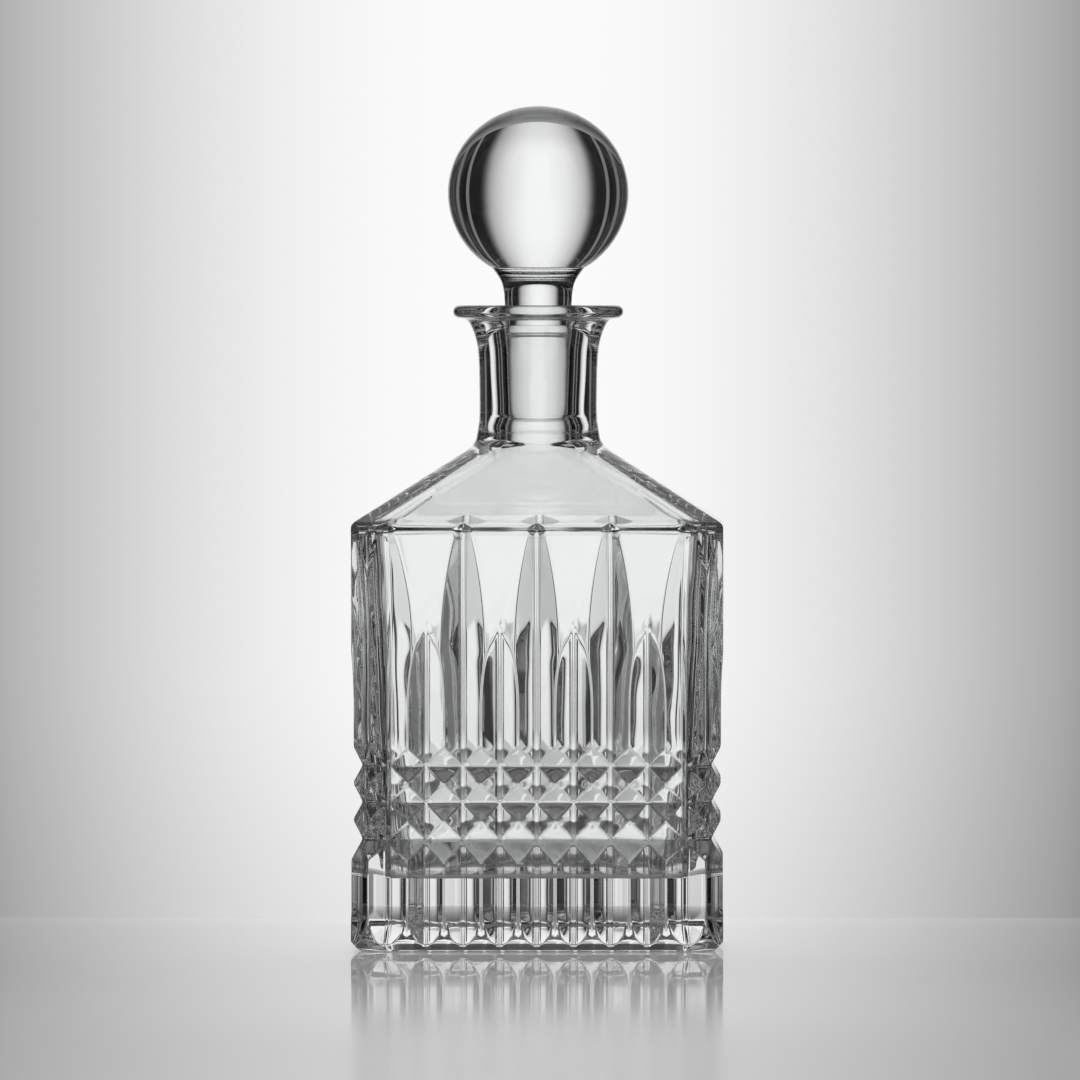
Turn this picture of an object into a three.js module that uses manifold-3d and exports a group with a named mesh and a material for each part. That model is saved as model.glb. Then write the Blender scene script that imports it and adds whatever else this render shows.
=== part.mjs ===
// A square cut crystal decanter with a round stopper.
// Millimetres, +Z up, origin at the middle of the base's underside.
// The vessel is a square block of clear glass with bevelled corners. Upright V grooves, long and
// short in turn, run down its sides, and three level V grooves cross them and leave two rows of
// pyramids. The stopper is one solid piece: a ball, a collar and a tapered plug.

import * as THREE from 'three';
import { ConvexGeometry } from 'three/addons/geometries/ConvexGeometry.js';
import * as BufferGeometryUtils from 'three/addons/utils/BufferGeometryUtils.js';
import Module from 'manifold-3d';

const wasm = await Module();
wasm.setup();

// ---- driving dimensions ----

// body
const halfWidth = 52.0; // centre to each flat side
const cornerStart = 42.7; // where a flat side turns into the corner bevel
const shoulderZ = 119.0; // top edge of the upright sides
const baseBevel = 2.4; // 45 degree bevel round the bottom edge

// neck and lip
const neckRadius = 17.4;
const neckFootZ = 141.0;
const neckWaistRadius = 16.5;
const neckWaistZ = 154.0;
const lipRadius = 23.9;
const lipTopZ = 180.0;
const lipThickness = 3.6;

// cavity
const cavityFloorHalfWidth = 40.8;
const cavityTopHalfWidth = 45.5; // the walls grow thinner towards the shoulder
const cavityCornerRadius = 6.0;
const cavityFloorZ = 20.1;
const shoulderWall = 5.0; // thickness of the glass under the sloping shoulder
const boreRadius = 9.4; // the neck's bore below the plug

// stopper
const ballRadius = 25.4;
const ballHalfHeight = 24.5; // the ball is very slightly flattened
const stopperTopZ = 236.0;
const collarRadius = 9.5;
const plugTopRadius = 8.7;
const plugEndRadius = 7.95;
const plugTopZ = 169.0;
const plugEndZ = 148.0;
const seatGap = 0.3; // between the plug and its seat

// V grooves
const grooveSlope = 0.545; // rise of a facet over its width
const grooveDepth = 3.37;
const levelGrooveDepth = 3.4; // a hair deeper, so that the tips of crossing grooves do not coincide
const fluteDepth = 2.8; // the shallower cuts below the level grooves
const columnPitch = 10.3;
const columnsPerSide = 8;
const levelGrooveZ = [51.8, 41.5, 31.2];
const cutReach = 8.0; // half the width of the upright cutters
const cutClearance = 2.0; // how far a cutter stands out of the glass

// where the wheel leaves the glass: full depth at start, none a length further on
const longRunOut = { start: 84.5, length: 40.7, power: 2.0 };
const shortRunOut = { start: 66.0, length: 23.4, power: 2.4 };
const bottomRunOut = { start: 11.4, length: 11.9, power: 2.0 };

const cornerTurn = Math.PI / 8; // between a flat side and the corner groove's own direction
const roundSegments = 48;

// ---- helpers ----

function toSolid(geometry) {
  const closed = geometry.clone();
  closed.deleteAttribute('normal');
  closed.deleteAttribute('uv');
  const merged = BufferGeometryUtils.mergeVertices(closed, 1e-4);
  const vertProperties = new Float32Array(merged.attributes.position.array);
  const triVerts = new Uint32Array(merged.index.array);
  return new wasm.Manifold(new wasm.Mesh({ numProp: 3, vertProperties, triVerts }));
}

function toGeometry(solid) {
  const mesh = solid.getMesh();
  const geometry = new THREE.BufferGeometry();
  geometry.setAttribute('position', new THREE.BufferAttribute(mesh.vertProperties, 3));
  geometry.setIndex(new THREE.BufferAttribute(mesh.triVerts, 1));
  geometry.computeVertexNormals();
  return geometry;
}

function lathe(profile) {
  const geometry = new THREE.LatheGeometry(profile, roundSegments);
  geometry.rotateX(Math.PI / 2); // LatheGeometry turns about Y; the decanter stands along Z
  return geometry;
}

// Points on an arc in the (radius, height) plane, both ends included.
function arc(centreRadius, centreZ, radius, fromAngle, toAngle, steps) {
  const points = [];
  for (let i = 0; i <= steps; i += 1) {
    const angle = fromAngle + ((toAngle - fromAngle) * i) / steps;
    points.push(
      new THREE.Vector2(centreRadius + radius * Math.cos(angle), centreZ + radius * Math.sin(angle)),
    );
  }
  return points;
}

function point(radius, z) {
  return new THREE.Vector2(radius, z);
}

// ---- outside of the vessel ----

function octagon(half, start) {
  return [
    [half, start], [start, half], [-start, half], [-half, start],
    [-half, -start], [-start, -half], [start, -half], [half, -start],
  ];
}

function convexSolid(rings) {
  const points = rings.flatMap(([outline, z]) => outline.map(([x, y]) => new THREE.Vector3(x, y, z)));
  return toSolid(new ConvexGeometry(points));
}

function circle(radius) {
  return Array.from({ length: roundSegments }, (_, i) => {
    const angle = (2 * Math.PI * i) / roundSegments;
    return [radius * Math.cos(angle), radius * Math.sin(angle)];
  });
}

function makeBody() {
  const full = octagon(halfWidth, cornerStart);
  const foot = octagon(halfWidth - baseBevel, cornerStart - baseBevel * Math.tan(cornerTurn));
  return convexSolid([[foot, 0], [full, baseBevel], [full, shoulderZ]]);
}

function makeShoulder() {
  return convexSolid([
    [octagon(halfWidth, cornerStart), shoulderZ - 1],
    [octagon(halfWidth, cornerStart), shoulderZ],
    [circle(neckRadius), neckFootZ],
  ]);
}

// Neck, flare and rolled lip, solid right through: the bore is cut afterwards.
function makeNeck() {
  const edge = lipThickness / 2;
  const neckCurve = new THREE.SplineCurve([
    point(neckRadius + 0.4, neckFootZ),
    point(neckWaistRadius + 0.15, neckFootZ + 6.5),
    point(neckWaistRadius, neckWaistZ),
    point(neckWaistRadius + 0.5, lipTopZ - 12.2),
    point(neckWaistRadius + 2.9, lipTopZ - 4.9),
    point(lipRadius - edge, lipTopZ - lipThickness),
  ]);
  return toSolid(lathe([
    point(0, neckFootZ - 4),
    point(neckRadius + 0.4, neckFootZ - 4),
    ...neckCurve.getPoints(14),
    ...arc(lipRadius - edge, lipTopZ - edge, edge, -Math.PI / 2, Math.PI / 2, 6).slice(1),
    point(0, lipTopZ),
  ]));
}

// ---- inside of the vessel ----

function roundedSquare(half, radius) {
  const steps = 5;
  const points = [];
  for (let corner = 0; corner < 4; corner += 1) {
    const turn = (corner * Math.PI) / 2;
    const centre = new THREE.Vector2(half - radius, half - radius).rotateAround(new THREE.Vector2(), turn);
    for (let i = 0; i <= steps; i += 1) {
      const angle = turn + (i * Math.PI) / 2 / steps;
      points.push([centre.x + radius * Math.cos(angle), centre.y + radius * Math.sin(angle)]);
    }
  }
  return points;
}

// Height of the cavity's ceiling at a distance from the axis: it runs parallel to the shoulder.
function ceilingZ(distance) {
  const rise = (neckFootZ - shoulderZ) / (halfWidth - neckRadius);
  return shoulderZ + rise * (halfWidth - distance) - shoulderWall * Math.hypot(1, rise);
}

function makeCavity() {
  const floorEdge = 1.6;
  const topRadius = boreRadius - 0.4; // inside the bore, so that the two cuts cross cleanly
  return convexSolid([
    [roundedSquare(cavityFloorHalfWidth - floorEdge, cavityCornerRadius - floorEdge), cavityFloorZ],
    [roundedSquare(cavityFloorHalfWidth, cavityCornerRadius), cavityFloorZ + floorEdge],
    [roundedSquare(cavityTopHalfWidth, cavityCornerRadius), ceilingZ(cavityTopHalfWidth)],
    [circle(topRadius), ceilingZ(topRadius)],
  ]);
}

// The bore widens into the seat that the plug sits in, and flares at the mouth.
function makeBore() {
  return toSolid(lathe([
    point(0, neckFootZ - 4),
    point(boreRadius, neckFootZ - 4),
    point(boreRadius, plugEndZ - 1.5),
    point(plugEndRadius + seatGap + 0.6, plugEndZ + 1.5),
    point(plugTopRadius + seatGap, plugTopZ),
    point(collarRadius + seatGap, lipTopZ - 3),
    point(collarRadius + 1.6, lipTopZ - 0.8),
    point(collarRadius + 2.6, lipTopZ + 1),
    point(0, lipTopZ + 1),
  ]));
}

// ---- V grooves ----

// Share of the full depth left at a distance beyond the start of a run-out.
function runOutShare(distance, runOut) {
  return Math.max(0, 1 - (Math.max(0, distance) / runOut.length) ** runOut.power);
}

// A V section whose tip lies `depth` inside the glass surface, with its open side well outside it.
function grooveSection(depth, slope) {
  return new THREE.Shape([
    new THREE.Vector2(0, -depth),
    new THREE.Vector2(cutReach, slope * cutReach - depth),
    new THREE.Vector2(cutReach, depth + cutClearance),
    new THREE.Vector2(-cutReach, depth + cutClearance),
    new THREE.Vector2(-cutReach, slope * cutReach - depth),
  ]);
}

// An upright V cutter from fromZ to toZ. liftAt(z) says how far it has moved out of the glass.
function uprightCutter(cut, fromZ, toZ, steps, liftAt) {
  const geometry = new THREE.ExtrudeGeometry(grooveSection(cut.depth, cut.slope), {
    depth: toZ - fromZ,
    steps,
    bevelEnabled: false,
  });
  const position = geometry.attributes.position;
  for (let i = 0; i < position.count; i += 1) {
    const z = fromZ + position.getZ(i);
    position.setXYZ(i, position.getX(i), position.getY(i) + liftAt(z), z);
  }
  geometry.rotateZ(cut.facing - Math.PI / 2);
  geometry.translate(cut.x, cut.y, 0);
  return toSolid(geometry);
}

// Where the 36 upright grooves lie: seven across each flat side, and one at each of its two ends,
// on the edge of the corner bevel. Even ones are long, odd ones short.
function uprightCuts(depth) {
  const cuts = [];
  for (let side = 0; side < 4; side += 1) {
    const facing = (side * Math.PI) / 2;
    const place = (outward, along) => ({
      x: outward * Math.cos(facing) - along * Math.sin(facing),
      y: outward * Math.sin(facing) + along * Math.cos(facing),
    });
    const last = columnsPerSide / 2;
    for (let column = 1 - last; column < last; column += 1) {
      cuts.push({
        ...place(halfWidth, column * columnPitch),
        facing,
        depth,
        slope: grooveSlope,
        long: column % 2 === 0,
      });
    }
    for (const end of [-1, 1]) {
      cuts.push({
        ...place(halfWidth, end * cornerStart),
        facing: facing + end * cornerTurn,
        depth: cornerDepth(depth),
        slope: Math.tan(Math.atan(grooveSlope) - cornerTurn),
        long: true,
      });
    }
  }
  return cuts;
}

// A corner groove is measured from the edge that it removes, and ends up as deep as its
// neighbours: its tip lies `4 * columnPitch` along the side.
function cornerDepth(depth) {
  const full = (cornerStart - (columnsPerSide / 2) * columnPitch) / Math.sin(cornerTurn);
  return full * (depth / grooveDepth);
}

function upperCutters() {
  const lowest = levelGrooveZ[levelGrooveZ.length - 1];
  return uprightCuts(grooveDepth).flatMap((cut) => {
    const runOut = cut.long ? longRunOut : shortRunOut;
    const steps = cut.long ? 7 : 6;
    const top = runOut.start + runOut.length;
    const liftAt = (z) => cut.depth * (1 - runOutShare(z - runOut.start, runOut));
    return [
      uprightCutter(cut, lowest, runOut.start, 1, () => 0),
      uprightCutter(cut, runOut.start, top, steps, liftAt),
    ];
  });
}

function lowerCutters() {
  const lowest = levelGrooveZ[levelGrooveZ.length - 1];
  return uprightCuts(fluteDepth).flatMap((cut) => {
    const liftAt = (z) => cut.depth * (1 - runOutShare(bottomRunOut.start - z, bottomRunOut));
    return [
      uprightCutter(cut, bottomRunOut.start, lowest, 1, () => 0),
      uprightCutter(cut, -1, bottomRunOut.start, 5, liftAt),
    ];
  });
}

// A level V groove all round is one prism for each side of the octagon. Each prism runs past the
// ends of its side, and the union of all eight is mitred by itself.
function levelCutter(z) {
  const prisms = [];
  for (let side = 0; side < 8; side += 1) {
    const isFlat = side % 2 === 0;
    const facing = (side * Math.PI) / 4;
    const bevelDistance = (halfWidth + cornerStart) / Math.SQRT2;
    const bevelHalfLength = (halfWidth - cornerStart) / Math.SQRT2;
    const distance = isFlat ? halfWidth : bevelDistance;
    const halfLength = (isFlat ? cornerStart : bevelHalfLength) + cutClearance;
    const opening = (levelGrooveDepth + cutClearance) / grooveSlope;
    const section = new THREE.Shape([
      new THREE.Vector2(-levelGrooveDepth, 0),
      new THREE.Vector2(cutClearance, -opening),
      new THREE.Vector2(cutClearance, opening),
    ]);
    const geometry = new THREE.ExtrudeGeometry(section, { depth: 2 * halfLength, bevelEnabled: false });
    geometry.translate(0, 0, -halfLength);
    geometry.rotateX(Math.PI / 2); // the section stands upright, the prism lies along the side
    geometry.translate(distance, 0, z);
    geometry.rotateZ(facing);
    prisms.push(toSolid(geometry));
  }
  return wasm.Manifold.union(prisms);
}

// ---- the two pieces ----

function makeVessel() {
  const outside = wasm.Manifold.union([makeBody(), makeShoulder(), makeNeck()]);
  const cutters = [...upperCutters(), ...lowerCutters(), ...levelGrooveZ.map(levelCutter)];
  return outside.subtract(makeCavity()).subtract(makeBore()).subtract(wasm.Manifold.union(cutters));
}

// The ball runs into the collar on a hollow flare, and the plug tapers down from the collar.
function makeStopper() {
  const ballZ = stopperTopZ - ballHalfHeight;
  const flareRadius = collarRadius + 3.3; // where the flare meets the ball
  const flareAngle = -Math.acos(flareRadius / ballRadius);
  const ball = arc(0, 0, ballRadius, flareAngle, Math.PI / 2, 26).map(
    ({ x, y }) => point(x, ballZ + (y * ballHalfHeight) / ballRadius),
  );
  ball[ball.length - 1].x = 0;
  const flare = new THREE.SplineCurve([
    point(collarRadius, lipTopZ + 1),
    point(collarRadius + 0.2, lipTopZ + 4),
    point(collarRadius + 1.0, lipTopZ + 6.9),
    ball[0],
  ]);
  return lathe([
    point(0, plugEndZ),
    point(plugEndRadius - 0.6, plugEndZ),
    point(plugEndRadius, plugEndZ + 0.6),
    point(plugTopRadius, plugTopZ),
    point(collarRadius - 0.1, lipTopZ - 3),
    ...flare.getPoints(6),
    ...ball.slice(1),
  ]);
}

function glassMaterial() {
  return new THREE.MeshStandardMaterial({ color: 0xeef1f2, roughness: 0.03, metalness: 0 });
}

function namedMesh(name, geometry) {
  const mesh = new THREE.Mesh(geometry, glassMaterial());
  mesh.name = name;
  return mesh;
}

const decanter = new THREE.Group();
decanter.add(namedMesh('vessel', toGeometry(makeVessel())));
decanter.add(namedMesh('stopper', makeStopper()));

export default decanter;
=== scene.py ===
"""Looks of the square cut crystal decanter: two fine glass meshes in a plain pale studio."""

import math

import bpy
import numpy as np
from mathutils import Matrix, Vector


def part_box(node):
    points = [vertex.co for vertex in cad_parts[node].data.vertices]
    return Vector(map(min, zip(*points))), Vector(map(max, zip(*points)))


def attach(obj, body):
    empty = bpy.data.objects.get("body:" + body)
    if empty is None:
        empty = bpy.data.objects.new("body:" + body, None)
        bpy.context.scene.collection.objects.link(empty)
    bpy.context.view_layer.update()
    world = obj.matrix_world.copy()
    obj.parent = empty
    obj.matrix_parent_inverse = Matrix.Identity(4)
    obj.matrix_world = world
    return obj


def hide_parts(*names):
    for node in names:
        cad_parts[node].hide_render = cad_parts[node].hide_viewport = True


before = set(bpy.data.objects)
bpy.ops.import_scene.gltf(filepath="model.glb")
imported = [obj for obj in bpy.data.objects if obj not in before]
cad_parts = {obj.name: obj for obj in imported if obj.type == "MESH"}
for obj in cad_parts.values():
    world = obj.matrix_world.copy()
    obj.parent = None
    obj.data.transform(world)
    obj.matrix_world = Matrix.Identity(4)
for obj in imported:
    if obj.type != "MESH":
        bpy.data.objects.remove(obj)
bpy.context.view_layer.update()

MM = 0.001  # the shapes below are worked out in millimetres, and meshes are in metres

vessel_low, vessel_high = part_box("vessel")
stopper_low, stopper_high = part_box("stopper")

# ---- sizes of the body ----
HALF_WIDTH = vessel_high.x / MM
CORNER_START = 42.7  # along a flat side, where the corner bevel begins
SHOULDER_Z = 119.0
BASE_BEVEL = 2.4
NECK_RADIUS = 17.4
NECK_WAIST_RADIUS = 16.5
NECK_FOOT_Z = 141.0
LIP_TOP_Z = vessel_high.z / MM
LIP_RADIUS = 23.9
LIP_EDGE = 1.8  # radius of the lip's round edge

# ---- sizes of the cavity ----
CAVITY_FLOOR_HALF_WIDTH = 40.8
CAVITY_TOP_HALF_WIDTH = 45.5  # the walls grow thinner towards the shoulder
CAVITY_CORNER_RADIUS = 6.0
CAVITY_FLOOR_Z = 20.1
CAVITY_FLOOR_EDGE = 2.6
SHOULDER_WALL = 5.0  # thickness of the glass under the sloping shoulder
BORE_RADIUS = 9.4  # below the plug
WALL_WAVE = 0.10  # how uneven the blown inside is

# ---- sizes of the stopper ----
BALL_RADIUS = 25.4
BALL_HALF_HEIGHT = 24.5  # the ball is very slightly flattened
COLLAR_RADIUS = 9.5
PLUG_END_RADIUS = 7.95
PLUG_EDGE = 0.6
STOPPER_TOP_Z = stopper_high.z / MM
PLUG_END_Z = stopper_low.z / MM

# ---- V grooves ----
GROOVE_SLOPE = 0.545
GROOVE_DEPTH = 3.37
FLUTE_DEPTH = 2.8
COLUMN_PITCH = 10.3
LAST_COLUMN = 4
LEVEL_GROOVE_Z = (31.2, 41.5, 51.8)
LONG_RUN_OUT = (84.5, 40.7, 2.0)  # height where the wheel starts to leave the glass, how far, power
SHORT_RUN_OUT = (66.0, 23.6, 2.4)
BOTTOM_RUN_OUT = (11.4, 11.9, 2.0)
CORNER_TURN = math.tan(math.pi / 8)  # tangent of half the angle between a flat side and the bevel
CORNER_DEPTH_SHARE = (CORNER_START - LAST_COLUMN * COLUMN_PITCH) / CORNER_TURN / GROOVE_DEPTH

# ---- polish ----
EDGE_SOFTNESS = 0.30  # how much depth a polished edge is rounded over
EDGE_REACH = 0.55  # how far along the surface that rounding shows
TIP_SOFTNESS = 1.1  # half-width of the round tip that the wheel leaves in an upright groove
TIP_STEEPNESS = 1.6  # slope at the side of that round tip, compared with the facet's own
LEVEL_TIP_SOFTNESS = 0.6
SHOULDER_SOFTNESS = 1.8
NECK_FILLET = 3.0
CAVITY_SOFTNESS = 2.0  # where the cavity's walls meet its ceiling

BEVEL_DISTANCE = (HALF_WIDTH + CORNER_START) / math.sqrt(2)
BEVEL_HALF_LENGTH = (HALF_WIDTH - CORNER_START) / math.sqrt(2)
FLAT, BEVEL = 0, 1  # the two kinds of side
SIDE_DISTANCE = (HALF_WIDTH, BEVEL_DISTANCE)
SIDE_HALF_LENGTH = (CORNER_START, BEVEL_HALF_LENGTH)
SHOULDER_RUN = tuple((d - NECK_RADIUS) / (NECK_FOOT_Z - SHOULDER_Z) for d in SIDE_DISTANCE)
CEILING_DROP = SHOULDER_WALL * math.hypot(1.0, 1.0 / SHOULDER_RUN[FLAT])
CEILING_FOOT_Z = SHOULDER_Z - CEILING_DROP + (HALF_WIDTH - CAVITY_TOP_HALF_WIDTH) / SHOULDER_RUN[FLAT]
THROAT_Z = SHOULDER_Z - CEILING_DROP + (HALF_WIDTH - BORE_RADIUS) / SHOULDER_RUN[FLAT]


# ---- small curve tools ----
def smooth_max(a, b, width):
    """The larger of two values, rounded over where they are closer than width."""
    overlap = np.maximum(width - np.abs(a - b), 0.0)
    return np.maximum(a, b) + overlap**2 / (4.0 * width)


def smooth_min(a, b, width):
    """The smaller of two values, rounded over in the same way."""
    return -smooth_max(-a, -b, width)


def smooth_abs(x, width):
    """The size of x, with a round bottom instead of a point."""
    x = np.abs(x)
    return np.where(x < width, (x**2 + width**2) / (2.0 * width), x)


def round_tip(x):
    """The size of x for an upright groove, whose round tip ends in a steep little step."""
    x = np.abs(x)
    inside = TIP_STEEPNESS * x**2 / (2.0 * TIP_SOFTNESS) + TIP_SOFTNESS * (1.0 - TIP_STEEPNESS / 2.0)
    return np.where(x < TIP_SOFTNESS, inside, x)


def smooth_step(x, low, high):
    """0 below low, 1 above high, and a smooth rise between them."""
    share = min(max((x - low) / (high - low), 0.0), 1.0)
    return share * share * (3.0 - 2.0 * share)


def spline(points, steps):
    """A smooth curve through points, with that many steps between each two, ends included."""
    points = np.array(points, float)
    padded = np.vstack((2 * points[0] - points[1], points, 2 * points[-1] - points[-2]))
    curve = []
    for before, start, end, after in zip(padded, padded[1:], padded[2:], padded[3:]):
        for t in np.arange(steps) / steps:
            curve.append(
                start
                + 0.5 * t * (end - before)
                + t * t * (before - 2.5 * start + 2 * end - 0.5 * after)
                + t * t * t * (-0.5 * before + 1.5 * start - 1.5 * end + 0.5 * after)
            )
    return np.array(curve + [points[-1]])


def arc(centre, radius, start, end, steps):
    """Points on a circle in the (radius, height) plane, from one angle to another in degrees."""
    angles = np.radians(np.linspace(start, end, steps + 1))
    return np.column_stack((centre[0] + radius * np.cos(angles), centre[1] + radius * np.sin(angles)))


# ---- the cut sides of the vessel ----
def level_depth(z, side):
    """How deep the level grooves, the base bevel and the shoulder cut into a side at height z."""
    depth = 0.0
    for groove_z in LEVEL_GROOVE_Z:
        cut = GROOVE_DEPTH - GROOVE_SLOPE * smooth_abs(z - groove_z, LEVEL_TIP_SOFTNESS)
        depth = smooth_max(depth, cut, EDGE_SOFTNESS)
    depth = smooth_max(depth, BASE_BEVEL - z, EDGE_SOFTNESS)
    return smooth_max(depth, (z - SHOULDER_Z) * SHOULDER_RUN[side], SHOULDER_SOFTNESS)


def upright_depth(z, is_long):
    """How deep the tip of an upright groove lies at height z. Below zero the wheel is clear."""
    top_start, top_length, top_power = LONG_RUN_OUT if is_long else SHORT_RUN_OUT
    bottom_start, bottom_length, bottom_power = BOTTOM_RUN_OUT
    top_share = 1.0 - (max(z - top_start, 0.0) / top_length) ** top_power
    bottom_share = 1.0 - (max(bottom_start - z, 0.0) / bottom_length) ** bottom_power
    lowest = LEVEL_GROOVE_Z[0]
    upper = smooth_step(z, lowest - TIP_SOFTNESS, lowest + TIP_SOFTNESS)
    depth = FLUTE_DEPTH + (GROOVE_DEPTH - FLUTE_DEPTH) * upper
    return depth * min(top_share, bottom_share)


def groove_at(column, side, z):
    """(where the tip lies along the side, its depth, where the samples end) for one upright groove."""
    half_length = SIDE_HALF_LENGTH[side]
    is_corner = side == BEVEL or abs(column) == LAST_COLUMN
    if not is_corner:
        place = column * COLUMN_PITCH
        return place, upright_depth(z, column % 2 == 0), place
    sign = math.copysign(1.0, column)
    depth = upright_depth(z, True) * CORNER_DEPTH_SHARE
    tip = sign * (half_length - max(depth, 0.0) * CORNER_TURN)
    here = max(level_depth(z, side), depth)
    other = max(level_depth(z, 1 - side), depth)
    return tip, depth, sign * (half_length + here - math.sqrt(2) * other)


def rising(values):
    """The same values, each pushed on where it would come too close to the one before."""
    spacing = EDGE_REACH / 4
    for i in range(1, len(values)):
        values[i] = max(values[i], values[i - 1] + spacing)
    return values


def cell_samples(left_column, right_column, side, z):
    """(along the side, depth) of the samples from one groove's tip to just before the next one's."""
    level = level_depth(z, side)
    left_tip, left_depth, left_end = groove_at(left_column, side, z)
    right_tip, right_depth, right_end = groove_at(right_column, side, z)
    left_edge = max(left_tip + max(left_depth - level, 0.0) / GROOVE_SLOPE, left_end)
    right_edge = min(right_tip - max(right_depth - level, 0.0) / GROOVE_SLOPE, right_end)
    if left_edge > right_edge:
        crest = (left_tip + right_tip) / 2 + (left_depth - right_depth) / (2 * GROOVE_SLOPE)
        left_edge = right_edge = crest
    middle = (left_edge + right_edge) / 2
    third = EDGE_REACH / 3

    def half(end, edge, centre):
        tip_reach = min(TIP_SOFTNESS, max(edge - EDGE_REACH - end, EDGE_REACH))
        near_tip = [end + tip_reach * share for share in (0.0, 0.35, 0.7, 0.98, 1.15)]
        at_edge = min(edge, centre - 2 * third)
        beyond_edge = min(edge + EDGE_REACH, centre - third)
        return rising([*near_tip, edge - EDGE_REACH, at_edge, beyond_edge])

    left = half(left_end, left_edge, middle)
    right = [-value for value in half(-right_end, -right_edge, -middle)]
    along = np.array(left + [middle] + right[:0:-1])
    depth = level
    for tip, tip_depth in ((left_tip, left_depth), (right_tip, right_depth)):
        cut = tip_depth - GROOVE_SLOPE * round_tip(along - tip)
        depth = smooth_max(depth, cut, EDGE_SOFTNESS)
    return along, depth


def side_ring(z):
    """One level ring of points round the cut body."""
    quarter = []
    for side, columns in ((FLAT, range(-LAST_COLUMN, LAST_COLUMN + 1)), (BEVEL, (-LAST_COLUMN, LAST_COLUMN))):
        facing = side * math.pi / 4
        outward = np.array((math.cos(facing), math.sin(facing)))
        sideways = np.array((-math.sin(facing), math.cos(facing)))
        columns = list(columns)
        for left, right in zip(columns, columns[1:]):
            along, depth = cell_samples(left, right, side, z)
            quarter.append(np.outer(SIDE_DISTANCE[side] - depth, outward) + np.outer(along, sideways))
    quarter = np.vstack(quarter)
    turned = [quarter]
    for _ in range(3):
        last = turned[-1]
        turned.append(np.column_stack((-last[:, 1], last[:, 0])))
    plan = np.vstack(turned)
    return np.column_stack((plan, np.full(len(plan), z)))


def side_heights():
    """Heights of the rings: close together wherever an edge or a curve needs them."""
    first, last = LEVEL_GROOVE_Z[0], LEVEL_GROOVE_Z[-1]
    pyramid_reach = GROOVE_DEPTH / GROOVE_SLOPE + 0.8
    short_end = SHORT_RUN_OUT[0] + SHORT_RUN_OUT[1] + 0.5
    edges = [BASE_BEVEL, *LEVEL_GROOVE_Z]
    edges += [z + COLUMN_PITCH / 2 for z in LEVEL_GROOVE_Z]
    heights = [
        np.linspace(0.0, BOTTOM_RUN_OUT[0], 20),
        np.linspace(BOTTOM_RUN_OUT[0], first - pyramid_reach, 6),
        np.linspace(first - pyramid_reach, last + pyramid_reach, 72),
        np.linspace(last + pyramid_reach, SHORT_RUN_OUT[0], 4),
        np.linspace(SHORT_RUN_OUT[0], short_end, 34),
        np.linspace(short_end, SHOULDER_Z - 2.0, 20),
        np.linspace(SHOULDER_Z - 2.0, SHOULDER_Z + 0.8, 15),
    ]
    heights += [np.array((z - LEVEL_TIP_SOFTNESS, z, z + LEVEL_TIP_SOFTNESS)) for z in edges]
    heights = np.unique(np.round(np.concatenate(heights), 3))
    keep = np.append(True, np.diff(heights) > 0.05)
    return heights[keep]


# ---- plans that blend from many-sided to round ----
def plan_radius(angles, half_width, corner_start, rounding):
    """Distance from the axis to a bevelled square with rounding added all round, at each angle."""
    folded = np.abs((angles + math.pi / 4) % (math.pi / 2) - math.pi / 4)
    bevel_distance = (half_width + corner_start) / math.sqrt(2)
    bevel_half = (half_width - corner_start) / math.sqrt(2)
    on_flat = (half_width + rounding) / np.cos(folded)
    on_bevel = (bevel_distance + rounding) / np.cos(math.pi / 4 - folded)
    toward = half_width * np.cos(folded) + corner_start * np.sin(folded)
    under_root = toward**2 - half_width**2 - corner_start**2 + rounding**2
    on_corner = toward + np.sqrt(np.maximum(under_root, 0.0))
    is_flat = on_flat * np.sin(folded) <= corner_start
    is_bevel = on_bevel * np.sin(math.pi / 4 - folded) <= bevel_half
    return np.where(is_flat, on_flat, np.where(is_bevel, on_bevel, on_corner))


def ring_at(angles, radii, z):
    """A level ring of points at these angles and distances from the axis."""
    radii = np.broadcast_to(radii, angles.shape)
    heights = np.broadcast_to(z, angles.shape)
    return np.column_stack((radii * np.cos(angles), radii * np.sin(angles), heights))


def shoulder_radius(angles, z):
    """Plan of the shoulder at height z: the body's octagon shrinks as the neck's circle grows into it."""
    share = (z - SHOULDER_Z) / (NECK_FOOT_Z - SHOULDER_Z)
    if share >= 1.0:
        return np.full(angles.shape, NECK_RADIUS - (z - NECK_FOOT_Z) * SHOULDER_RUN[FLAT])
    left = 1.0 - share
    return plan_radius(angles, HALF_WIDTH * left, CORNER_START * left, NECK_RADIUS * share)


def wall_radius(angles, z):
    """Plan of the cavity's upright walls at height z: they lean out towards the shoulder."""
    share = (z - CAVITY_FLOOR_Z) / (CEILING_FOOT_Z - CAVITY_FLOOR_Z)
    half_width = CAVITY_FLOOR_HALF_WIDTH + (CAVITY_TOP_HALF_WIDTH - CAVITY_FLOOR_HALF_WIDTH) * share
    straight = half_width - CAVITY_CORNER_RADIUS
    return plan_radius(angles, straight, straight, CAVITY_CORNER_RADIUS)


def ceiling_radius(angles, z):
    """Plan of the cavity under the shoulder at height z."""
    share = (z - CEILING_FOOT_Z) / (THROAT_Z - CEILING_FOOT_Z)
    if share >= 1.0:
        return np.full(angles.shape, BORE_RADIUS - (z - THROAT_Z) * SHOULDER_RUN[FLAT])
    left = 1.0 - share
    straight = (CAVITY_TOP_HALF_WIDTH - CAVITY_CORNER_RADIUS) * left
    rounding = CAVITY_CORNER_RADIUS * left + BORE_RADIUS * share
    return plan_radius(angles, straight, straight, rounding)


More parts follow.
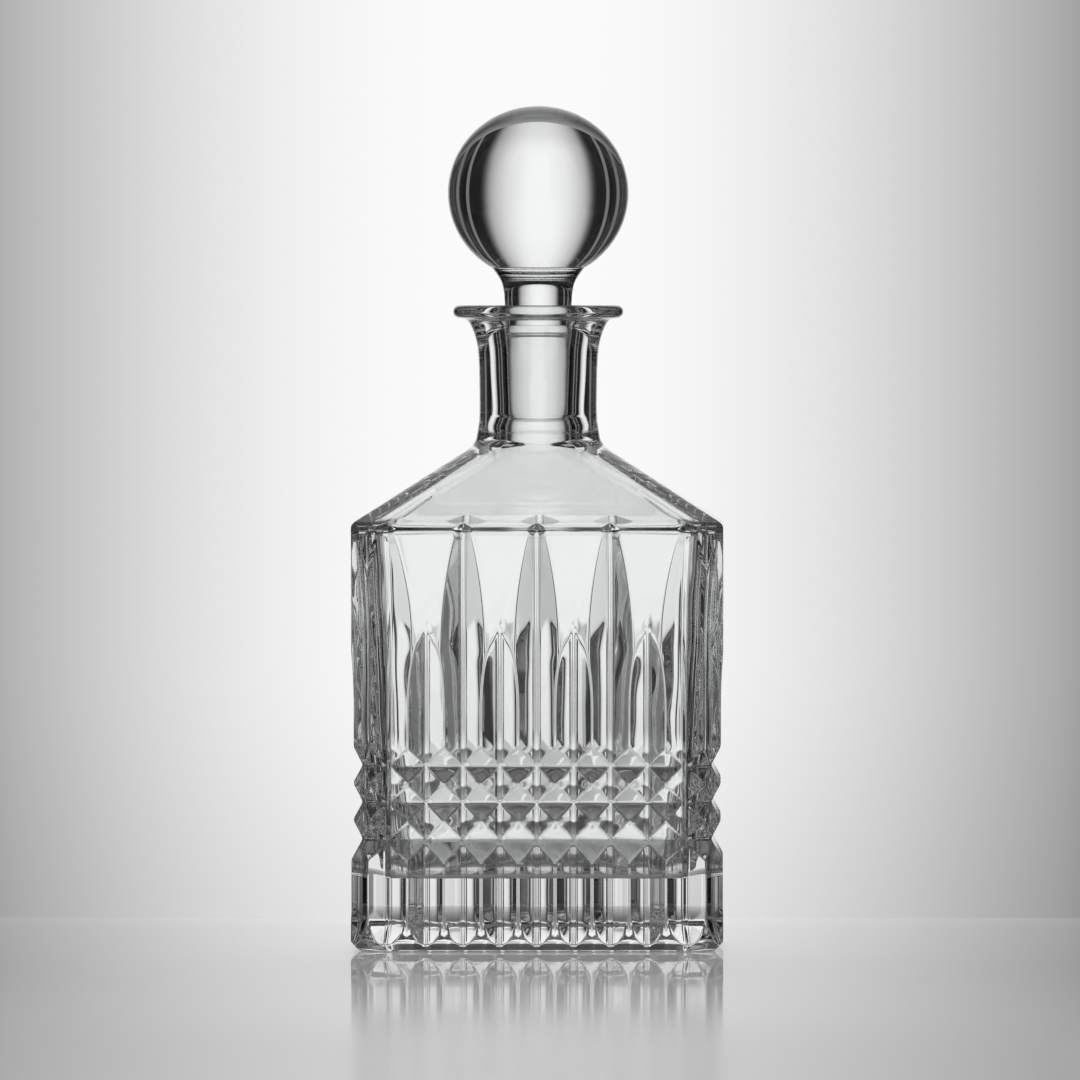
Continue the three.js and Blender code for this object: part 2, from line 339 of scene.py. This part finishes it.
# ---- the vessel, ring by ring, from under its base up the outside and down the inside ----
def outside_rings():
    """The rings of the outside, and the angles of the points on the last of them."""
    rings = []
    foot = side_ring(0.0)
    for share in (0.25, 0.6, 0.9, 0.985):
        rings.append(foot * (share, share, 1.0))
    rings += [side_ring(z) for z in side_heights()]
    cut_angles = np.unwrap(np.arctan2(rings[-1][:, 1], rings[-1][:, 0]))
    even_angles = math.radians(-40.0) + 2 * math.pi * np.arange(len(cut_angles)) / len(cut_angles)
    neck = spline(
        [
            (NECK_RADIUS + 0.4, NECK_FOOT_Z - 3.0),
            (NECK_RADIUS + 0.2, NECK_FOOT_Z),
            (NECK_WAIST_RADIUS + 0.15, NECK_FOOT_Z + 6.5),
            (NECK_WAIST_RADIUS, NECK_FOOT_Z + 13.0),
            (NECK_WAIST_RADIUS + 0.5, LIP_TOP_Z - 12.2),
            (NECK_WAIST_RADIUS + 2.9, LIP_TOP_Z - 4.9),
            (LIP_RADIUS - LIP_EDGE, LIP_TOP_Z - 2 * LIP_EDGE),
        ],
        7,
    )
    for z in np.linspace(SHOULDER_Z + 1.2, NECK_FOOT_Z - 3.5, 22):
        share = smooth_step(z, SHOULDER_Z + 1.0, SHOULDER_Z + 14.0)
        angles = cut_angles + (even_angles - cut_angles) * share
        radii = smooth_max(shoulder_radius(angles, z), neck[0][0], NECK_FILLET)
        rings.append(ring_at(angles, radii, z))
    for radius, z in neck:
        radii = smooth_max(shoulder_radius(even_angles, z), radius, NECK_FILLET)
        rings.append(ring_at(even_angles, radii, z))
    lip = arc((LIP_RADIUS - LIP_EDGE, LIP_TOP_Z - LIP_EDGE), LIP_EDGE, -90, 90, 16)[1:]
    rings += [ring_at(even_angles, radius, z) for radius, z in lip]
    return rings, even_angles


def inside_rings(angles):
    """The rings from the lip's flat top down the seat, the bore and the cavity to its floor."""
    mouth = spline(
        [
            (12.6, LIP_TOP_Z),
            (11.0, LIP_TOP_Z - 0.6),
            (10.05, LIP_TOP_Z - 2.6),
            (9.6, 174.0),
            (9.0, 168.0),
            (8.75, 160.0),
            (8.4, 150.5),
            (8.9, 148.0),
            (BORE_RADIUS, 145.5),
            (BORE_RADIUS, 143.0),
        ],
        5,
    )
    rings = [ring_at(angles, radius, LIP_TOP_Z) for radius in (20.0, 16.0)]
    rings += [ring_at(angles, radius, z) for radius, z in mouth]
    for z in np.linspace(142.5, CEILING_FOOT_Z - 4.0, 44):
        radii = smooth_min(ceiling_radius(angles, z), wall_radius(angles, z), CAVITY_SOFTNESS)
        radii = smooth_max(radii, BORE_RADIUS, NECK_FILLET)
        rings.append(ring_at(angles, radii, z))
    floor_edge_z = CAVITY_FLOOR_Z + CAVITY_FLOOR_EDGE
    for z in np.linspace(CEILING_FOOT_Z - 6.0, floor_edge_z, 60):
        rings.append(ring_at(angles, wall_radius(angles, z) + wall_wave(angles, z), z))
    walls = wall_radius(angles, floor_edge_z)
    for inset, z in arc((0.0, floor_edge_z), CAVITY_FLOOR_EDGE, 0, -90, 10)[1:]:
        rings.append(ring_at(angles, walls - CAVITY_FLOOR_EDGE + inset, z))
    for share in (0.9, 0.7, 0.45, 0.2):
        rings.append(ring_at(angles, (walls - CAVITY_FLOOR_EDGE) * share, CAVITY_FLOOR_Z))
    return rings


def wall_wave(angles, z):
    """How far the inside wall wanders from its true shape: most in the corners, none at its ends."""
    in_corner = np.sin(2.0 * angles) ** 6
    floor_z = CAVITY_FLOOR_Z + CAVITY_FLOOR_EDGE
    fade = smooth_step(z, floor_z, floor_z + 8.0) * (1.0 - smooth_step(z, 105.0, CEILING_FOOT_Z - 6.0))
    slow = np.sin(z / 7.0 + 5.0 * angles) + np.sin(z / 4.3 - 9.0 * angles + 1.0)
    quick = 0.6 * np.sin(z / 2.9 + 17.0 * angles + 2.0)
    return WALL_WAVE * fade * in_corner * (slow + quick)


def mesh_from_rings(name, rings, first_pole, last_pole):
    """A closed mesh: rings of equal length joined by quads, and a point at each end. Millimetres in."""
    count = len(rings[0])
    points = np.vstack([np.array([first_pole]), *rings, np.array([last_pole])]) * MM
    faces = []
    for ring in range(len(rings) - 1):
        start = 1 + ring * count
        for i in range(count):
            j = (i + 1) % count
            faces.append((start + i, start + j, start + count + j, start + count + i))
    end = 1 + (len(rings) - 1) * count
    for i in range(count):
        j = (i + 1) % count
        faces.append((0, 1 + j, 1 + i))
        faces.append((end + i, end + j, len(points) - 1))
    mesh = bpy.data.meshes.new(name)
    mesh.from_pydata(points.tolist(), [], faces)
    mesh.validate()
    mesh.shade_smooth()
    piece = bpy.data.objects.new(name, mesh)
    bpy.context.scene.collection.objects.link(piece)
    weighted = piece.modifiers.new("flat_facets", "WEIGHTED_NORMAL")
    weighted.mode = "FACE_AREA"
    weighted.weight = 50
    return piece


def make_vessel():
    """One closed skin: outside and inside join at the lip."""
    outside, angles = outside_rings()
    rings = outside + inside_rings(angles)
    return mesh_from_rings("crystal_vessel", rings, (0, 0, 0), (0, 0, CAVITY_FLOOR_Z))


# ---- the stopper ----
def stopper_profile():
    """Half outline of the stopper from the plug's flat end up to the top of the ball."""
    flatness = BALL_HALF_HEIGHT / BALL_RADIUS
    join = math.degrees(math.acos((COLLAR_RADIUS + 3.3) / BALL_RADIUS))  # where the flare meets the ball
    ball = arc((0, 0), BALL_RADIUS, -join, 89.2, 110) * (1.0, flatness)
    ball += (0.0, STOPPER_TOP_Z - BALL_HALF_HEIGHT)
    shaft = spline(
        [
            (PLUG_END_RADIUS, PLUG_END_Z + PLUG_EDGE),
            (8.35, 158.0),
            (8.7, 169.0),
            (9.2, 175.5),
            (COLLAR_RADIUS - 0.05, LIP_TOP_Z + 1.0),
            (COLLAR_RADIUS + 0.2, LIP_TOP_Z + 4.0),
            (COLLAR_RADIUS + 1.0, LIP_TOP_Z + 6.9),
            tuple(ball[0]),
            tuple(ball[1]),
        ],
        8,
    )
    end_edge = arc((PLUG_END_RADIUS - PLUG_EDGE, PLUG_END_Z + PLUG_EDGE), PLUG_EDGE, -90, 0, 5)
    return np.vstack(([(3.0, PLUG_END_Z), (6.5, PLUG_END_Z)], end_edge, shaft[1:], ball[2:]))


def make_stopper():
    """The outline of the stopper, turned round its axis."""
    angles = 2 * math.pi * np.arange(160) / 160
    rings = [ring_at(angles, radius, z) for radius, z in stopper_profile()]
    return mesh_from_rings("crystal_stopper", rings, (0, 0, PLUG_END_Z), (0, 0, STOPPER_TOP_Z))


# ---- node tools ----
def add_node(tree, kind, **inputs):
    node = tree.nodes.new(kind)
    for name, value in inputs.items():
        node.inputs[name.replace("_", " ")].default_value = value
    return node


def map_range(tree, source, low, high, to_low, to_high, smooth=True):
    """A value that runs from to_low to to_high while the source runs from low to high."""
    node = tree.nodes.new("ShaderNodeMapRange")
    node.interpolation_type = "SMOOTHSTEP" if smooth else "LINEAR"
    node.inputs["From Min"].default_value = low
    node.inputs["From Max"].default_value = high
    node.inputs["To Min"].default_value = to_low
    node.inputs["To Max"].default_value = to_high
    tree.links.new(source, node.inputs["Value"])
    return node.outputs["Result"]


def combine(tree, operation, first, second=None):
    """A Math node fed by one or two sources, or by a source and a number."""
    node = tree.nodes.new("ShaderNodeMath")
    node.operation = operation
    for socket, value in zip(node.inputs, (first, second)):
        if isinstance(value, (int, float)):
            socket.default_value = value
        elif value is not None:
            tree.links.new(value, socket)
    return node.outputs["Value"]


def split_place(tree, kind, output):
    """The X, Y and Z sockets of a place or direction."""
    place = tree.nodes.new(kind)
    split = tree.nodes.new("ShaderNodeSeparateXYZ")
    tree.links.new(place.outputs[output], split.inputs[0])
    return split.outputs["X"], split.outputs["Y"], split.outputs["Z"]


def switch(tree, chooser, off, on):
    """The value off where the chooser is 0, and on where it is 1. The value on may be a number."""
    pick = tree.nodes.new("ShaderNodeMix")
    tree.links.new(chooser, pick.inputs["Factor"])
    tree.links.new(off, pick.inputs["A"])
    if isinstance(on, float):
        pick.inputs["B"].default_value = on
    else:
        tree.links.new(on, pick.inputs["B"])
    return pick.outputs["Result"]


# ---- materials ----
CRYSTAL_IOR = 1.545
MOST_HAZE = 0.02  # roughness where the polish is poorest
WAVE_HEIGHT = 0.00002
CUT_WAVE_SIZE = 0.014
BALL_WAVE_SIZE = 0.02


def crystal(name, wave_size):
    """Clear lead crystal: a polished surface, very slightly uneven, with the faintest haze here and there."""
    material = bpy.data.materials.new(name)
    material.use_nodes = True
    tree = material.node_tree
    shader = tree.nodes["Principled BSDF"]
    shader.inputs["Base Color"].default_value = (0.985, 0.99, 0.99, 1)
    shader.inputs["Transmission Weight"].default_value = 1.0
    shader.inputs["IOR"].default_value = CRYSTAL_IOR
    place = tree.nodes.new("ShaderNodeTexCoord")
    haze = add_node(tree, "ShaderNodeTexNoise", Scale=90.0, Detail=3.0)
    tree.links.new(place.outputs["Object"], haze.inputs["Vector"])
    roughness = map_range(tree, haze.outputs["Fac"], 0.45, 0.8, 0.0, MOST_HAZE, smooth=False)
    tree.links.new(roughness, shader.inputs["Roughness"])
    waves = add_node(tree, "ShaderNodeTexNoise", Scale=1.0 / wave_size, Detail=1.0)
    tree.links.new(place.outputs["Object"], waves.inputs["Vector"])
    bump = add_node(tree, "ShaderNodeBump", Strength=1.0, Distance=WAVE_HEIGHT)
    tree.links.new(waves.outputs["Fac"], bump.inputs["Height"])
    tree.links.new(bump.outputs["Normal"], shader.inputs["Normal"])
    return material


def floor_reflection(tree, y):
    """A clear reflection with a soft one over it, brightest and sharpest at the back of the table."""
    shine = map_range(tree, y, -1.0, 0.2, 0.74, 0.94, smooth=False)
    blur = map_range(tree, y, -0.80, -0.25, 0.16, 0.02)
    clear = tree.nodes.new("ShaderNodeBsdfGlossy")
    soft = add_node(tree, "ShaderNodeBsdfGlossy", Roughness=0.4)
    tree.links.new(blur, clear.inputs["Roughness"])
    for gloss in (clear, soft):
        tree.links.new(shine, gloss.inputs["Color"])
    mixed = add_node(tree, "ShaderNodeMixShader", Fac=0.25)
    tree.links.new(clear.outputs[0], mixed.inputs[1])
    tree.links.new(soft.outputs[0], mixed.inputs[2])
    return mixed.outputs[0]


def floor_painted_glow(tree, x, y):
    """Painted light on the table: it glows softly though it is no lamp, with painted shade close behind the
    decanter, where cut facets look, and a darker diffuse colour there too.

    The camera sees a paler glow than the glass does, a painted pool of light fading to both sides and to the
    front.
    """
    ground = tree.nodes.new("ShaderNodeBsdfDiffuse")
    # painted shade: the diffuse colour is darker close to the decanter and paler behind it
    painted_shade_tone = map_range(tree, y, 0.15, 0.25, 0.20, 0.5)
    tree.links.new(painted_shade_tone, ground.inputs["Color"])
    # painted light seen through the glass: a glow in front and far behind, with painted shade close behind
    # the decanter
    behind = map_range(tree, y, 0.15, 0.25, 0.02, 0.20)
    before = map_range(tree, y, -0.14, 0.05, 0.50, 0.0)
    painted_glow_through_glass = combine(tree, "MAXIMUM", behind, before)
    # painted pool of light for the camera only: brightest at the back and the middle, fading to the front and
    # both sides
    along = map_range(tree, y, -0.80, 0.0, 0.72, 0.92)
    across = map_range(tree, combine(tree, "ABSOLUTE", x), 0.0, 0.22, 1.0, 0.52)
    ray = tree.nodes.new("ShaderNodeLightPath")
    painted_light_pool = combine(tree, "MULTIPLY", ray.outputs["Is Camera Ray"], combine(tree, "MULTIPLY", along, across))
    # painted light: the floor glows though it is no lamp
    glow = tree.nodes.new("ShaderNodeEmission")
    tree.links.new(combine(tree, "MAXIMUM", painted_glow_through_glass, painted_light_pool), glow.inputs["Strength"])
    both = tree.nodes.new("ShaderNodeAddShader")
    tree.links.new(ground.outputs[0], both.inputs[0])
    tree.links.new(glow.outputs[0], both.inputs[1])
    return both.outputs[0]


def floor_material():
    """A white glossy table: its reflection is strongest at a low angle and near the decanter."""
    material = bpy.data.materials.new("pale_gloss_floor")
    material.use_nodes = True
    tree = material.node_tree
    tree.nodes.remove(tree.nodes["Principled BSDF"])
    x, y, _ = split_place(tree, "ShaderNodeTexCoord", "Object")
    fresnel = add_node(tree, "ShaderNodeFresnel", IOR=1.5)
    share = map_range(tree, y, -0.80, -0.10, 0.35, 0.95)
    table = tree.nodes.new("ShaderNodeMixShader")
    tree.links.new(combine(tree, "MULTIPLY", fresnel.outputs[0], share), table.inputs[0])
    tree.links.new(floor_painted_glow(tree, x, y), table.inputs[1])
    tree.links.new(floor_reflection(tree, y), table.inputs[2])
    tree.links.new(table.outputs[0], tree.nodes["Material Output"].inputs["Surface"])
    return material


# ---- studio ----
FLOOR_BACK = 0.25
LIGHTBOX_Y = 0.40
# two fades for each side of the lightbox, a long soft one and a short one: X where it is dark, X where it
# is still at full strength
LIGHTBOX_FADES = ((-0.315, -0.03), (-0.235, -0.158), (0.300, 0.008), (0.225, 0.150))
ROOM_LEVEL = 0.01
BACKDROP_LEVEL = 0.8
FLOOR_FILL = 0.1  # soft light from all round that reaches the floor
# degrees round from the lightbox: middle, half-width, soft edge; and brightness
WINDOWS = (
    (41.5, 2.2, 1.0, 0.25),
    (55.0, 3.5, 1.5, 0.20),
    (90.0, 14.0, 5.0, 0.26),
    (132.0, 15.0, 5.0, 0.45),
    (180.0, 22.0, 8.0, 0.50),
)


def make_floor():
    """A pale glossy slab with a back edge behind the decanter."""
    width, length, thickness, gap = 1.2, 1.6, 0.02, 0.0002
    mesh = bpy.data.meshes.new("floor")
    low = (-width / 2, FLOOR_BACK - length, -thickness - gap)
    high = (width / 2, FLOOR_BACK, -gap)
    corners = [(x, y, z) for z in (low[2], high[2]) for y in (low[1], high[1]) for x in (low[0], high[0])]
    faces = [(0, 2, 3, 1), (4, 5, 7, 6), (0, 1, 5, 4), (2, 6, 7, 3), (0, 4, 6, 2), (1, 3, 7, 5)]
    mesh.from_pydata(corners, [], faces)
    floor = bpy.data.objects.new("floor", mesh)
    floor.data.materials.append(floor_material())
    bpy.context.scene.collection.objects.link(floor)


def make_lightbox():
    """A tall lit panel behind the decanter, bright in the middle and fading to both sides."""
    width, height, bottom = 0.62, 1.1, -0.25
    data = bpy.data.lights.new("lightbox", "AREA")
    data.shape = "RECTANGLE"
    data.size = width
    data.size_y = height
    data.energy = width * height * math.pi
    data.use_nodes = True
    tree = data.node_tree
    x, _, z = split_place(tree, "ShaderNodeNewGeometry", "Position")
    level = map_range(tree, z, -0.04, 0.08, 0.82, 0.965)
    for dark, bright in LIGHTBOX_FADES:
        fade = map_range(tree, x, dark, bright, 0.0, 1.0)
        level = combine(tree, "MULTIPLY", level, fade)
    tree.links.new(level, tree.nodes["Emission"].inputs["Strength"])
    lamp = bpy.data.objects.new("lightbox", data)
    lamp.location = (0, LIGHTBOX_Y, bottom + height / 2)
    lamp.rotation_euler = (math.radians(-90), 0, 0)
    lamp.visible_camera = True
    bpy.context.scene.collection.objects.link(lamp)


def window_light(tree, turn, z):
    """The brightness of the tall windows in one direction. They end well below the zenith."""
    windows = None
    for middle, half_width, soft_edge, level in WINDOWS:
        away = combine(tree, "ABSOLUTE", combine(tree, "SUBTRACT", turn, math.radians(middle)))
        edge = math.radians(half_width)
        lit = map_range(tree, away, edge - math.radians(soft_edge), edge, level, 0.0)
        windows = lit if windows is None else combine(tree, "MAXIMUM", windows, lit)
    below_top = map_range(tree, z, 0.72, 0.90, 1.0, 0.0)
    return combine(tree, "MULTIPLY", windows, below_top)


def backdrop_light(tree, turn, z):
    """Plain and pale, but dark behind the lightbox, which adds its own light to what lies behind it."""
    off_lightbox = map_range(tree, turn, math.radians(30), math.radians(36), 0.0, BACKDROP_LEVEL)
    far_below = map_range(tree, z, -0.50, -0.35, BACKDROP_LEVEL, 0.0)
    return combine(tree, "MAXIMUM", off_lightbox, far_below)


def make_world():
    """A dim room with tall soft windows round it, and none where the lightbox stands.

    What the camera sees of the room directly is a plain pale backdrop.
    """
    world = bpy.data.worlds.new("studio")
    bpy.context.scene.world = world
    world.use_nodes = True
    tree = world.node_tree
    background = tree.nodes["Background"]
    background.inputs["Color"].default_value = (1, 1, 1, 1)
    x, y, z = split_place(tree, "ShaderNodeTexCoord", "Generated")
    turn = combine(tree, "ABSOLUTE", combine(tree, "ARCTAN2", x, y))  # 0 toward the lightbox
    room = combine(tree, "ADD", window_light(tree, turn, z), ROOM_LEVEL)
    ray = tree.nodes.new("ShaderNodeLightPath")
    room = switch(tree, ray.outputs["Is Diffuse Ray"], room, FLOOR_FILL)
    room = switch(tree, ray.outputs["Is Camera Ray"], room, backdrop_light(tree, turn, z))
    tree.links.new(room, background.inputs["Strength"])


def make_camera():
    """A long lens at the height of the stopper, looking very slightly down."""
    distance, height, aim_z = 6.0, 0.200, 0.114
    shift_right = 0.0005
    frame_width = 0.3035  # what the picture spans at the decanter's axis
    turn = math.radians(0.5)  # the decanter stands very slightly askew to the camera
    data = bpy.data.cameras.new("camera")
    data.sensor_width = 36.0
    data.lens = data.sensor_width * distance / frame_width
    data.clip_end = 100.0
    camera = bpy.data.objects.new("camera", data)
    camera.location = (shift_right + distance * math.sin(turn), -distance * math.cos(turn), height)
    tilt = math.atan2(height - aim_z, distance)
    camera.rotation_euler = (math.pi / 2 - tilt, 0, turn)
    bpy.context.scene.collection.objects.link(camera)
    bpy.context.scene.camera = camera


def set_picture():
    """Firm contrast, and enough bounces for light to find its way out of clear cut glass."""
    scene = bpy.context.scene
    scene.view_settings.view_transform = "Standard"
    scene.view_settings.gamma = 0.8
    scene.cycles.max_bounces = 32
    scene.cycles.transmission_bounces = 32
    scene.cycles.glossy_bounces = 16
    scene.cycles.sample_clamp_indirect = 4.0


vessel = make_vessel()
vessel.data.materials.append(crystal("cut_crystal", CUT_WAVE_SIZE))
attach(vessel, "vessel")
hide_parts("vessel")

stopper = make_stopper()
stopper.data.materials.append(crystal("polished_crystal", BALL_WAVE_SIZE))
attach(stopper, "stopper")
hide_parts("stopper")

make_floor()
make_lightbox()
make_world()
make_camera()
set_picture()
